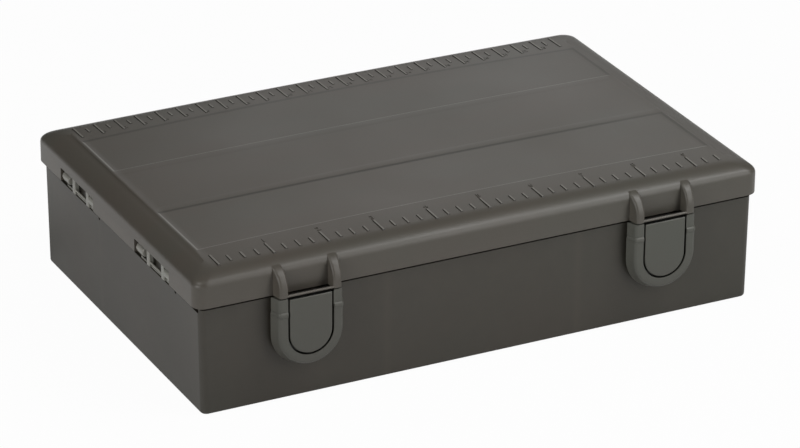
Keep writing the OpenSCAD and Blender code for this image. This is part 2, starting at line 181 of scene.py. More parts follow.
CATCH_RIB_Z = LATCH_TIP + 7

# ---- Sizes of the hinges ----

HINGE_X = LID_X - 55
HINGE_Y = LID_Y + 3.2
HINGE_Z = SKIRT_Z + 0.2
HINGE_LEN = 40
KNUCKLE_R = 2.7
BORE_R = 1.25
LID_KNUCKLE = 16
BASE_KNUCKLE = (HINGE_LEN - LID_KNUCKLE) / 2 - 0.4
WEB_TURN = radians(40)

# ---- Sizes of the side clips ----

CLIP_Y = LID_Y - 46.1
NOTCH_HALF = 18.3
NOTCH_H = 6.4
NOTCH_ROUND = 0.8
SEAT_X = BASE_X - 1
SEAT_GAP = 0.1
CLIP_HALF = 18.2
CLIP_LOW = SKIRT_Z - 3
CLIP_HIGH = CLIP_LOW + 8.7
CLIP_T = 0.4
SLOT_HALF = 6.1
SLOT_LOW = CLIP_LOW + 0.8
KNOB_AT = 14.4
KNOB_HALF = 3.6
KNOB_R = 2.2
KNOB_Z = SKIRT_Z + 2.4
KNOB_FACE = BASE_X + 2
RIB_AT = 7.6
RIB_W = 2.9
RIB_FACE = BASE_X + 0.9
CLIP_BAR_X = RIB_FACE - 0.5
CLIP_BAR_Z = CLIP_LOW + 2.9
CLIP_BAR_R = 0.42
PIN_MARK_AT = 18.9
PIN_MARK_Z = CLIP_LOW - 0.3
PIN_MARK_R = 0.75


# ---- Modelling ----

HERE = (0, 0, 0)


def leave():
    """Back to object mode with nothing selected."""
    if bpy.context.object and bpy.context.object.mode != "OBJECT":
        bpy.ops.object.mode_set(mode="OBJECT")
    bpy.ops.object.select_all(action="DESELECT")


def choose(piece):
    """Makes the piece the only one that is selected."""
    leave()
    bpy.context.view_layer.objects.active = piece
    piece.select_set(True)


def settle():
    """Bakes the selected piece's place, turn and scale into its mesh and hands it over."""
    bpy.ops.object.transform_apply(location=True, rotation=True, scale=True)
    return bpy.context.object


def block(low, high):
    """Box between two corners."""
    leave()
    low, high = Vector(low), Vector(high)
    bpy.ops.mesh.primitive_cube_add(size=1, location=(low + high) / 2, scale=high - low)
    return settle()


def rod(at, radius, length, axis="X", sides=48, caps="NGON"):
    """Cylinder with its middle at a point."""
    leave()
    turn = {"X": (0, pi / 2, 0), "Y": (pi / 2, 0, 0)}[axis]
    bpy.ops.mesh.primitive_cylinder_add(
        vertices=sides, radius=radius, depth=length, end_fill_type=caps,
        location=at, rotation=turn,
    )
    return settle()


def edit(piece):
    choose(piece)
    bpy.ops.object.mode_set(mode="EDIT")
    bpy.ops.mesh.select_all(action="DESELECT")


def pick(kind, wanted):
    """In edit mode, selects the verts, edges or faces that pass a test, and nothing else."""
    bpy.ops.mesh.select_mode(type={"verts": "VERT", "edges": "EDGE", "faces": "FACE"}[kind])
    bpy.ops.mesh.select_all(action="DESELECT")
    mesh = bmesh.from_edit_mesh(bpy.context.edit_object.data)
    for part in getattr(mesh, kind):
        if wanted(part):
            part.select_set(True)
    bmesh.update_edit_mesh(bpy.context.edit_object.data)


def pick_all():
    bpy.ops.mesh.select_all(action="SELECT")


def near(a, b, slack=0.02):
    return abs(a - b) < slack


def looks_up(face):
    return face.normal.z > 0.9


def every(test):
    """Test for an edge or face all of whose points pass a test of their place."""
    return lambda part: all(test(v.co) for v in part.verts)


def on_plane(axis, value):
    """Test for an edge or face that lies in a plane square to an axis."""
    i = "xyz".index(axis)
    return every(lambda place: near(place[i], value))


def runs_along(axis):
    """Test for an edge that runs along an axis."""
    i = "xyz".index(axis)

    def wanted(edge):
        way = edge.verts[1].co - edge.verts[0].co
        return near(abs(way[i]), way.length, 0.001)

    return wanted


def both(first, second):
    return lambda part: first(part) and second(part)


def bevel_picked(width, segments=4):
    bpy.ops.mesh.bevel(offset=width, segments=segments, affect="EDGES", clamp_overlap=False)


def bevel(piece, wanted, width, segments=4):
    edit(piece)
    pick("edges", wanted)
    bevel_picked(width, segments)
    leave()
    return piece


def extrude_picked(move):
    bpy.ops.mesh.extrude_region_move(TRANSFORM_OT_translate={"value": move})


def score_all(point, normal):
    """In edit mode, scores a line right round the piece where a plane meets it."""
    pick_all()
    bpy.ops.mesh.bisect(plane_co=point, plane_no=normal)


def slice_off(piece, point, normal):
    """Cuts away what lies beyond a plane and closes the cut."""
    edit(piece)
    pick_all()
    bpy.ops.mesh.bisect(plane_co=point, plane_no=normal, clear_outer=True, use_fill=True)
    leave()
    return piece


def apply_modifier(piece, kind, **settings):
    choose(piece)
    modifier = piece.modifiers.new(kind, kind)
    for name, value in settings.items():
        setattr(modifier, name, value)
    bpy.ops.object.modifier_apply(modifier=modifier.name)
    return piece


def carve(piece, *tools):
    """Takes the tools' shapes out of the piece, and the tools away."""
    for tool in tools:
        apply_modifier(piece, "BOOLEAN", operation="DIFFERENCE", solver="EXACT", object=tool)
        bpy.data.objects.remove(tool)
    return piece


def join(first, *others):
    leave()
    for piece in (first, *others):
        piece.select_set(True)
    bpy.context.view_layer.objects.active = first
    bpy.ops.object.join()
    return first


def tidy_normals(piece):
    """Turns all faces outwards."""
    edit(piece)
    pick_all()
    bpy.ops.mesh.normals_make_consistent(inside=False)
    leave()
    return piece


def mirror(piece):
    """Turns a piece made on the right into its left-hand twin."""
    edit(piece)
    pick_all()
    bpy.ops.transform.mirror(constraint_axis=(True, False, False), center_override=HERE)
    leave()
    return tidy_normals(piece)


def copies(piece, *moves):
    """Copies of a piece, each with its own mesh, at each move from the first, which goes away."""
    made = []
    for move in moves:
        choose(piece)
        bpy.ops.object.duplicate(linked=False)
        bpy.ops.transform.translate(value=move)
        made.append(settle())
    bpy.data.objects.remove(piece)
    return made


def both_sides(piece, x):
    """Copies of a piece made in the middle, to the left and to the right."""
    return copies(piece, (-x, 0, 0), (x, 0, 0))


def front_and_rear(piece, y):
    """Copies of a piece made at y, one there and one as far on the other side of the middle."""
    return copies(piece, HERE, (0, -2 * y, 0))


def four_corners(piece, middle_x, y):
    """Copies of a piece made on the right, to its four places on both sides of the box."""
    return copies(piece, *((turn, end * y, 0) for turn in (0, -2 * middle_x) for end in (-1, 1)))


def twins(piece):
    """The left-hand twin of a piece made on the right, and the piece."""
    left, right = copies(piece, HERE, HERE)
    return mirror(left), right


def row(piece, count, step):
    """The piece and its copies in a row along X."""
    return apply_modifier(
        piece, "ARRAY", count=count, use_relative_offset=False,
        use_constant_offset=True, constant_offset_displace=(step, 0, 0),
    )


def tube(at, outer, inner, length):
    """Sleeve along X with its bore."""
    sleeve = rod(at, outer, length, caps="NOTHING")
    return apply_modifier(
        sleeve, "SOLIDIFY", thickness=outer - inner, offset=-1, use_even_offset=True
    )


def knuckle(length, web_low, web_high, edge_z, slope):
    """Hinge knuckle on its web, which slopes away from the height where it meets the knuckle."""
    pin = (0, HINGE_Y, HINGE_Z)
    web = block((-length / 2, *web_low), (length / 2, *web_high))
    slice_off(web, (0, HINGE_Y + KNUCKLE_R * cos(WEB_TURN), edge_z), slope)
    carve(web, rod(pin, KNUCKLE_R - 0.3, length + 2))
    return join(web, tube(pin, KNUCKLE_R, BORE_R, length))


def hand_in(piece, name, body, node, finish, smooth=32):
    """Brings a piece modelled in millimetres to metres, gives it its body and finish, and hides the
    node it stands for.
    """
    choose(piece)
    piece.name = name
    piece.data.name = name
    piece.scale = (0.001, 0.001, 0.001)
    settle()
    bpy.ops.object.shade_smooth_by_angle(angle=radians(smooth))
    apply_modifier(piece, "WEIGHTED_NORMAL", keep_sharp=True, weight=80)
    piece.data.materials.clear()
    piece.data.materials.append(finish)
    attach(piece, body)
    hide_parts(node)


# ---- Lid ----

def shoulder_rings():
    """How far in and how high above the shoulder's foot each of its rings lies."""
    steep = pi / 2 - SHOULDER_TURN
    for i in range(1, LOWER_RINGS + 1):
        turn = steep * i / LOWER_RINGS
        yield SHOULDER_LOWER * (1 - cos(turn)), SHOULDER_LOWER * sin(turn)
    for i in range(1, UPPER_RINGS + 1):
        turn = steep + SHOULDER_TURN * i / UPPER_RINGS
        yield (
            SHOULDER_W - SHOULDER_UPPER * cos(turn),
            SHOULDER_H - SHOULDER_UPPER * (1 - sin(turn)),
        )


def lid_form(taken_in, foot):
    """Closed block with the lid's outer form, taken in all round."""
    half_x, half_y = LID_X - taken_in, LID_Y - taken_in
    form = block((-half_x, -half_y, foot), (half_x, half_y, SHOULDER_Z))
    edit(form)
    pick("edges", runs_along("z"))
    bevel_picked(LID_CORNER - taken_in, 8)
    pick("faces", looks_up)
    inset, height = taken_in, 0
    for ring_in, ring_up in shoulder_rings():
        shrink = taken_in * (1 - ring_in / SHOULDER_W)
        next_inset, next_height = ring_in + shrink, ring_up - taken_in * ring_up / SHOULDER_H
        extrude_picked((0, 0, next_height - height))
        across = (LID_X - next_inset) / (LID_X - inset)
        along = (LID_Y - next_inset) / (LID_Y - inset)
        bpy.ops.transform.resize(value=(across, along, 1), center_override=HERE)
        inset, height = next_inset, next_height
    leave()
    return form


def cut_top(axis, places):
    """Scores lines across the flat top."""
    normal = {"x": (1, 0, 0), "y": (0, 1, 0)}[axis]
    for place in places:
        pick("faces", on_plane("z", TOP_Z))
        bpy.ops.mesh.bisect(plane_co=Vector(normal) * place, plane_no=normal)


def sink(span, depth):
    """Presses the top in between a front and a rear line, with sloping walls."""
    def inside(face):
        middle = face.calc_center_median()
        flat = near(middle.z, TOP_Z) and looks_up(face)
        return flat and abs(middle.x) < PANEL_X and span[0] < middle.y < span[1]

    pick("faces", inside)
    bpy.ops.mesh.inset(thickness=PANEL_WALL, depth=-depth)


def lid_shell():
    """Lid's shell with its panels and skirt notches, still flat on top."""
    shell = lid_form(0, SKIRT_Z)
    edit(shell)
    pick("faces", lambda face: face.normal.z < -0.9)
    bpy.ops.mesh.delete(type="FACE")
    cut_top("y", (*FRONT_PANEL, *BAND, *REAR_PANEL))
    cut_top("x", (-PANEL_X, PANEL_X))
    for span, depth in ((FRONT_PANEL, PANEL_SINK), (BAND, BAND_SINK), (REAR_PANEL, PANEL_SINK)):
        sink(span, depth)
    for i in range(-CROWN_CUTS, CROWN_CUTS + 1):
        score_all((i * CROWN_STEP, 0, 0), (1, 0, 0))
    leave()
    apply_modifier(shell, "SOLIDIFY", thickness=LID_WALL, offset=-1, use_even_offset=True)
    notch = block(
        (LID_X - 4, -NOTCH_HALF, SKIRT_Z - 3), (LID_X + 4, NOTCH_HALF, SKIRT_Z + NOTCH_H)
    )
    bevel(notch, both(runs_along("x"), lambda e: e.verts[0].co.z > SKIRT_Z), NOTCH_ROUND, 3)
    carve(shell, *four_corners(notch, LID_X, CLIP_Y))
    return bevel(shell, on_plane("z", SKIRT_Z), SKIRT_ROUND, 2)


def latch_rail():
    """Right-hand rail of a latch, which sweeps back in an arc onto the lid's shoulder."""
    foot, crest = BAR_Z - BAR_R, SKIRT_Z + RAIL_RISE
    rail = block((-RAIL_W / 2, LATCH_FRONT, foot), (RAIL_W, RAIL_BACK, TOP_Z))
    slice_off(rail, (RAIL_W / 2, LATCH_FRONT, 0), (1, -RAIL_FLARE, 0))
    slice_off(rail, (0, LATCH_FRONT, crest), (0, -sin(RAIL_SLOPE), cos(RAIL_SLOPE)))
    brow = every(lambda place: near(place.y, LATCH_FRONT) and near(place.z, crest))
    bevel(rail, brow, RAIL_ROUND * tan((pi / 2 - RAIL_SLOPE) / 2), 12)

    def outer(place):
        return near(place.x, RAIL_W / 2 + (place.y - LATCH_FRONT) * RAIL_FLARE)

    def flank_edge(edge):
        on_flank = on_plane("x", -RAIL_W / 2)(edge) or every(outer)(edge)
        return on_flank and not on_plane("z", foot)(edge) and not on_plane("y", RAIL_BACK)(edge)

    bevel(rail, flank_edge, RAIL_EDGE, 5)
    toe = both(on_plane("z", foot), every(lambda place: place.y < LATCH_FRONT + 1))
    return bevel(rail, toe, 0.2, 2)


def ruler_mark(x, outer_y, length):
    """One raised mark with sloping flanks, reaching in from its outer end."""
    inner_y = outer_y - length if outer_y > 0 else outer_y + length
    low_y, high_y = sorted((outer_y, inner_y))
    half = MARK_BASE / 2
    mark = block((x - half, low_y, TOP_Z - MARK_ROOT), (x + half, high_y, TOP_Z + MARK_RISE))
    edit(mark)
    pick("faces", looks_up)
    bpy.ops.transform.resize(
        value=(MARK_CREST / MARK_BASE, 1 - MARK_END_SLOPES / length, 1),
        center_override=(x, (low_y + high_y) / 2, TOP_Z),
    )
    leave()
    return mark


def front_ruler():
    """A long mark at each inch, and shorter ones at the halves and quarters."""
    half, quarter = FRONT_RULER_X + INCH / 2, FRONT_RULER_X + INCH / 4
    return [
        row(ruler_mark(FRONT_RULER_X, FRONT_RULER_Y, INCH_MARK), 10, INCH),
        row(ruler_mark(half, FRONT_SHORT_Y, HALF_INCH_MARK), 10, INCH),
        row(ruler_mark(quarter, FRONT_SHORT_Y, QUARTER_INCH_MARK), 19, INCH / 2),
    ]


def rear_ruler():
    """A long mark at each centimetre and a short one half way."""
    half = REAR_RULER_X + CENTIMETRE / 2
    return [
        row(ruler_mark(REAR_RULER_X, REAR_RULER_Y, CM_MARK), 25, CENTIMETRE),
        row(ruler_mark(half, REAR_SHORT_Y, HALF_CM_MARK), 24, CENTIMETRE),
    ]


def digits(number, x, y, size):
    """Plain raised digits, read from the front."""
    leave()
    bpy.ops.object.text_add(location=(x, y, TOP_Z - DIGIT_ROOT))
    words = bpy.context.object
    words.data.body = str(number)
    words.data.size = size
    words.data.align_x = "CENTER"
    words.data.align_y = "CENTER"
    words.data.extrude = DIGIT_ROOT + DIGIT_RISE
    words.data.bevel_depth = DIGIT_ROUND
    words.data.resolution_u = 3
    bpy.ops.object.convert(target="MESH")
    return settle()


def ruler_digits():
    """Numbers 1 to 9 inside the inch marks and 1 to 23 inside the centimetre marks."""
    made = []
    for i in range(1, 10):
        made.append(digits(i, FRONT_RULER_X + i * INCH + 0.5, INCH_DIGIT_Y, INCH_DIGIT))
    for i in range(1, 24):
        shift = 1.9 if i > 9 else 1.3
        made.append(digits(i, REAR_RULER_X + i * CENTIMETRE + shift, CM_DIGIT_Y, CM_DIGIT))
    return made


def lid_knuckle():
    """Middle knuckle of a hinge, on its web behind the lid's skirt."""
    low, high = (LID_Y - 0.8, HINGE_Z + 1), (HINGE_Y + KNUCKLE_R, HINGE_Z + 9)
    edge_z = HINGE_Z + KNUCKLE_R * sin(WEB_TURN)
    return knuckle(LID_KNUCKLE, low, high, edge_z, (0, 6, HINGE_Y + 2.07 - LID_Y))


def crown_over(piece):
    """Crowns the top, tilts the ruler borders and bows the panels' outer lines; the skirt stays."""
    for vertex in piece.data.vertices:
        place = vertex.co
        share = min(max((place.z - SHOULDER_Z) / SHOULDER_H, 0), 1)
        border = min(max(abs(place.y) - BORDER_Y, 0), BORDER_W)
        lean = share * max(1 - (place.x / PANEL_X) ** 2, 0)
        for line, bow in ((FRONT_PANEL[0], FRONT_BOW), (REAR_PANEL[1], REAR_BOW)):
            if near(place.y, line, BOW_REACH):
                place.y += bow * lean
        place.z -= share * (CROWN * (place.x / LID_X) ** 2 + BORDER_TILT * border)


def make_lid(finish):
    shell = lid_shell()
    core = lid_form(LID_WALL, SKIRT_Z - 5)
    apart = RAIL_IN + RAIL_W / 2
    right, twin = copies(carve(latch_rail(), core), (apart, 0, 0), (apart, 0, 0))
    bar = rod((0, THIN_BAR_Y, THIN_BAR_Z), THIN_BAR_R, 2 * (RAIL_IN + 1), sides=24)
    parts = both_sides(join(bar, right, mirror(twin)), LATCH_X)
    parts += both_sides(lid_knuckle(), HINGE_X)
    parts += front_ruler() + rear_ruler() + ruler_digits()
    lid = join(shell, *parts)
    crown_over(lid)
    hand_in(lid, "lid_moulding", "lid", "lid", finish, smooth=26)


# ---- Base ----

def guide_rib(half_x, half_y):
    rib = block((-half_x, -half_y, FLOOR - 0.2), (half_x, half_y, LIP_Z - 0.2))
    return bevel(rib, runs_along("z"), 0.2, 2)


def guide_ribs():
    """Pairs of ribs that hold the dividers' ends against the walls."""
    thin, deep = GUIDE_W / 2, (GUIDE_H + GUIDE_ROOT) / 2
    step = GUIDE_SLOT + thin
    at_x, at_y = ROOM_X + GUIDE_ROOT - deep, ROOM_Y + GUIDE_ROOT - deep
    signs = [(a, b) for a in (-1, 1) for b in (-1, 1)]
    front_rear = [(x + a * step, b * at_y, 0) for x in (-DIVIDER_X, DIVIDER_X) for a, b in signs]
    sides = [(b * at_x, DIVIDER_Y + a * step, 0) for a, b in signs]
    return copies(guide_rib(thin, deep), *front_rear) + copies(guide_rib(deep, thin), *sides)


def base_knuckle():
    """Outer knuckle of a hinge, on its bracket behind the base."""
    low, high = (BASE_Y - 0.5, HINGE_Z - 8), (HINGE_Y + 2.1, STEP_Z)
    edge_z = HINGE_Z - KNUCKLE_R * sin(WEB_TURN)
    reach = HINGE_Y + KNUCKLE_R * cos(WEB_TURN) - BASE_Y
    return knuckle(BASE_KNUCKLE, low, high, edge_z, (0, 6.3, -reach))


def base_tray():
    """Open tray with rounded corners and foot, and a stepped lip inside the lid."""
    tray = block((-BASE_X, -BASE_Y, 0), (BASE_X, BASE_Y, STEP_Z))
    edit(tray)
    pick("edges", runs_along("z"))
    bevel_picked(BASE_CORNER, 6)
    pick("edges", on_plane("z", 0))
    bevel_picked(BASE_FOOT, 5)
    pick("verts", lambda v: v.co.z < 2)
    bpy.ops.transform.resize(value=(1 - BASE_DRAFT / BASE_X, 1, 1), center_override=HERE)
    pick("faces", looks_up)
    bpy.ops.mesh.inset(thickness=LIP_STEP)
    extrude_picked((0, 0, LIP_Z - STEP_Z))
    bpy.ops.mesh.inset(thickness=BASE_WALL - LIP_STEP)
    extrude_picked((0, 0, FLOOR - LIP_Z))
    pick("edges", on_plane("z", LIP_Z))
    bevel_picked(LIP_ROUND, 2)
    pick("edges", on_plane("z", STEP_Z))
    bevel_picked(STEP_ROUND, 2)
    leave()
    return tray


def seam_groove(tray):
    """Groove under the lid's skirt, which reads as a dark line all round."""
    over = 1.5
    top, out_x, out_y = STEP_Z + 0.01, BASE_X + over, BASE_Y + over
    long_cut = block((-out_x, -out_y, GROOVE_FRONT_Z), (out_x, GROOVE_IN - BASE_Y, top))
    short_cut = block((-out_x, 2 - BASE_Y, GROOVE_SIDE_Z), (GROOVE_IN - BASE_X, BASE_Y - 2, top))
    cuts = copies(long_cut, HERE, (0, 2 * BASE_Y + over - GROOVE_IN, 0))
    cuts += copies(short_cut, HERE, (2 * BASE_X + over - GROOVE_IN, 0, 0))
    return carve(tray, *cuts)


def clip_seat(tray):
    """Sunk seats for the side clips, with a deep slot, two holes and a pin mark in each."""
    deep, out = SEAT_X - 1, BASE_X + 2
    half, low, high = CLIP_HALF + SEAT_GAP, CLIP_LOW - SEAT_GAP, CLIP_HIGH + SEAT_GAP
    seat = block((SEAT_X, -half, low), (out, half, high))
    slot = block((deep, -SLOT_HALF, SLOT_LOW), (out, SLOT_HALF, high))
    hole = block((deep, KNOB_AT - KNOB_HALF, SLOT_LOW), (out, KNOB_AT + KNOB_HALF, KNOB_Z))
    pin_mark = rod((out - 1.5, -PIN_MARK_AT, PIN_MARK_Z), PIN_MARK_R, 5, sides=16)
    tools = four_corners(seat, (SEAT_X + out) / 2, CLIP_Y)
    tools += four_corners(slot, (deep + out) / 2, CLIP_Y)
    for one_hole in front_and_rear(hole, KNOB_AT):
        tools += four_corners(one_hole, (deep + out) / 2, CLIP_Y)
    tools += four_corners(pin_mark, out - 1.5, CLIP_Y)
    return carve(tray, *tools)


def catch_rib():
    """Rib on the front wall behind a latch's lower end."""
    front = LATCH_BACK + 0.3
    rib = block(
        (-CATCH_HALF, front, CATCH_RIB_Z), (CATCH_HALF, -BASE_Y + 0.3, CATCH_RIB_Z + CATCH_T)
    )
    return bevel(rib, both(on_plane("y", front), runs_along("x")), CATCH_ROUND, 3)


def make_base(finish):
    tray = clip_seat(seam_groove(base_tray()))
    apart = (HINGE_LEN - BASE_KNUCKLE) / 2
    knuckle_places = [(side * HINGE_X + end * apart, 0, 0) for side in (-1, 1) for end in (-1, 1)]
    parts = guide_ribs()
    parts += both_sides(catch_rib(), LATCH_X)
    parts += copies(base_knuckle(), *knuckle_places)
    hand_in(join(tray, *parts), "base_tray", "base", "base", finish)


# ---- Latches ----

def half_disc_block(front_half, back_half, front_y, depth, top):
    """Block with a round lower end, its flanks sloping out towards the back."""
    leave()
    bpy.ops.mesh.primitive_cone_add(
        vertices=96, radius1=back_half, radius2=front_half, depth=depth,
        location=(0, front_y + depth / 2, LATCH_C), rotation=(pi / 2, 0, 0),
    )
    shape = settle()
    slice_off(shape, (0, 0, LATCH_C), (0, 0, 1))
    edit(shape)
    pick("faces", looks_up)
    extrude_picked((0, 0, top - LATCH_C))
    pick_all()
    bpy.ops.mesh.dissolve_limited(angle_limit=radians(0.5))
    leave()
    return shape


def off_middle(place):
    """Distance from a latch's middle line, or from the centre of its round end."""
    return hypot(place.x, min(place.z - LATCH_C, 0))


def latch_ridge():
    """Rounded ridge round the front and flank of the right arm."""
    inner, outer = POCKET_HALF + 0.1, FRONT_HALF + RIDGE_SIDE
    front, back = LATCH_FRONT - RIDGE_OUT, LATCH_BACK - 0.6
    ridge = block((inner, front, RIDGE_Z - RIDGE_H / 2), (outer, back, RIDGE_Z + RIDGE_H / 2))
    bevel(ridge, both(on_plane("x", outer), on_plane("y", front)), 1.1, 4)
    edit(ridge)
    pick("verts", lambda v: near(v.co.x, outer) and near(v.co.y, back))
    bpy.ops.transform.translate(value=(RIDGE_SPREAD, 0, 0))

    def open_edge(edge):
        level = near(edge.verts[0].co.z, edge.verts[1].co.z)
        return level and not on_plane("y", back)(edge) and not on_plane("x", inner)(edge)

    pick("edges", open_edge)
    bevel_picked(0.9, 5)
    leave()
    return ridge


def latch_rim():
    """Rim of a latch: a rounded border round its pocket, with a ridge on each arm."""
    border = FRONT_HALF - POCKET_HALF
    rim = half_disc_block(
        FRONT_HALF, BACK_HALF, LATCH_FRONT, LATCH_DEPTH, LATCH_TOP + border + 2
    )
    in_front = on_plane("y", LATCH_FRONT)
    bevel(rim, in_front, RIM_ROUND, 4)
    edit(rim)
    pick("faces", in_front)
    bpy.ops.mesh.inset(thickness=border - RIM_ROUND)
    extrude_picked((0, TONGUE_T, 0))
    pick("edges", both(in_front, every(lambda place: off_middle(place) < POCKET_HALF + 0.2)))
    bevel_picked(0.25, 2)
    leave()
    slice_off(rim, (0, 0, LATCH_TOP), (0, 0, 1))
    edit(rim)
    for z in (RIDGE_Z, RIDGE_Z + 0.4):
        score_all((0, 0, z), (0, 0, 1))
    pick("verts", lambda v: v.co.z > RIDGE_Z + 0.2)
    bpy.ops.transform.resize(
        value=(1 - ARM_OUT / FRONT_HALF, 1 - ARM_OUT / LATCH_DEPTH, 1),
        center_override=(0, LATCH_BACK, 0),
    )
    leave()
    window, window_low = TONGUE_HALF + 0.3, BAR_Z - HOOK_OUT - 0.1
    hollow_y = LATCH_FRONT + TONGUE_T + HOLLOW_FRONT
    carve(
        rim,
        block((-window, LATCH_FRONT - 2, window_low), (window, LATCH_BACK + 1, LATCH_TOP + 1)),
        half_disc_block(HOLLOW_HALF, HOLLOW_HALF, hollow_y, 4, HOLLOW_TOP),
    )
    on_arms = every(lambda place: abs(place.x) > POCKET_HALF - 0.5)
    bevel(rim, both(on_plane("z", LATCH_TOP), on_arms), 0.3, 2)
    lip = block(
        (-CATCH_HALF, LATCH_FRONT + TONGUE_T + 1, CATCH_LIP_Z),
        (CATCH_HALF, LATCH_BACK, CATCH_LIP_Z + CATCH_T),
    )
    bevel(lip, both(on_plane("y", LATCH_BACK), runs_along("x")), CATCH_ROUND, 3)
    return join(rim, lip, *twins(latch_ridge()))


def latch_tongue():
    """Tongue of a latch, with the hook that turns round the lid's bar."""
    tongue = half_disc_block(TONGUE_HALF, TONGUE_HALF, LATCH_FRONT, TONGUE_T, TONGUE_TOP)
    bevel(tongue, on_plane("y", LATCH_FRONT), 0.5, 3)
    edit(tongue)
    pick("faces", on_plane("y", LATCH_FRONT))
    bpy.ops.mesh.inset(thickness=0.3)
    leave()
    bar = (0, BAR_Y, BAR_Z)
    hook = block(
        (-TONGUE_HALF, BAR_Y - 0.02, BAR_Z - HOOK_OUT),
        (TONGUE_HALF, BAR_Y + 0.02, BAR_Z - HOOK_IN),
    )
    edit(hook)
    pick_all()
    bpy.ops.transform.rotate(value=-HOOK_START, orient_axis="X", center_override=bar)
    ahead = Vector((0, cos(HOOK_START), sin(HOOK_START)))
    pick("faces", lambda face: face.normal.dot(ahead) > 0.9)
    bpy.ops.mesh.spin(steps=16, angle=-HOOK_TURN, center=bar, axis=(1, 0, 0))
    leave()
    return join(tongue, tidy_normals(hook))


def make_latches(finish):
    for part, made in (("rim", latch_rim()), ("tongue", latch_tongue())):
        for word, piece in zip(("left", "right"), both_sides(made, LATCH_X)):
            node = f"latch_{part}_{word}"
            hand_in(piece, node + "_moulding", f"latch_{word}", node, finish)


# ---- Side clips ----

def side_clip():
    """Slotted clip in its seat: a plate, two ribs, two round knobs and a thin bar."""
    face, inside, outside = SEAT_X + CLIP_T, SEAT_X - 1, SEAT_X + 2
    plate = block((SEAT_X, -CLIP_HALF, CLIP_LOW), (face, CLIP_HALF, CLIP_HIGH))
    slot = block((inside, -SLOT_HALF, SLOT_LOW), (outside, SLOT_HALF, CLIP_HIGH + 1))
    hole = block(
        (inside, KNOB_AT - KNOB_HALF, SLOT_LOW), (outside, KNOB_AT + KNOB_HALF, KNOB_Z)
    )
    carve(plate, slot, *front_and_rear(hole, KNOB_AT))
    bevel(plate, on_plane("x", face), 0.12, 2)
    knob = rod((KNOB_FACE - KNOB_R, KNOB_AT, KNOB_Z), KNOB_R, 2 * KNOB_HALF, "Y", 40)
    bevel(knob, lambda e: not runs_along("y")(e), 0.6, 3)
    slice_off(knob, (SEAT_X, 0, 0), (-1, 0, 0))
    rib = block(
        (SEAT_X, RIB_AT - RIB_W / 2, SLOT_LOW), (RIB_FACE, RIB_AT + RIB_W / 2, CLIP_HIGH)
    )
    bevel(rib, on_plane("x", RIB_FACE), 0.45, 3)
    bar = rod((CLIP_BAR_X, 0, CLIP_BAR_Z), CLIP_BAR_R, 2 * RIB_AT, "Y", 20)
    knobs, ribs = front_and_rear(knob, KNOB_AT), front_and_rear(rib, RIB_AT)
    return join(plate, bar, *knobs, *ribs)


def make_clips(finish):
    for word, clip in zip(("left", "right"), twins(side_clip())):
        for end, piece in zip(("front", "rear"), copies(clip, (0, -CLIP_Y, 0), (0, CLIP_Y, 0))):
            node = f"clip_{word}_{end}"
            hand_in(piece, node + "_moulding", "base", node, finish)


# ---- Materials ----

class Wire:
    """An output of a node; arithmetic on one that carries a number adds Math nodes."""

    def __init__(self, finish, socket):
        self.finish, self.socket = finish, socket

    def maths(self, operation, first, second=0.0):
        return self.finish.node("ShaderNodeMath", {"operation": operation}, {0: first, 1: second})

    def __add__(self, other): return self.maths("ADD", self, other)
    def __radd__(self, other): return self.maths("ADD", other, self)
    def __sub__(self, other): return self.maths("SUBTRACT", self, other)
    def __rsub__(self, other): return self.maths("SUBTRACT", other, self)
    def __mul__(self, other): return self.maths("MULTIPLY", self, other)
    def __rmul__(self, other): return self.maths("MULTIPLY", other, self)
    def __truediv__(self, other): return self.maths("DIVIDE", self, other)
    def __rtruediv__(self, other): return self.maths("DIVIDE", other, self)
    def __gt__(self, other): return self.maths("GREATER_THAN", self, other)
    def __lt__(self, other): return self.maths("LESS_THAN", self, other)
    def __abs__(self): return self.maths("ABSOLUTE", self)
    def at_least(self, other): return self.maths("MAXIMUM", self, other)
    def at_most(self, other): return self.maths("MINIMUM", self, other)


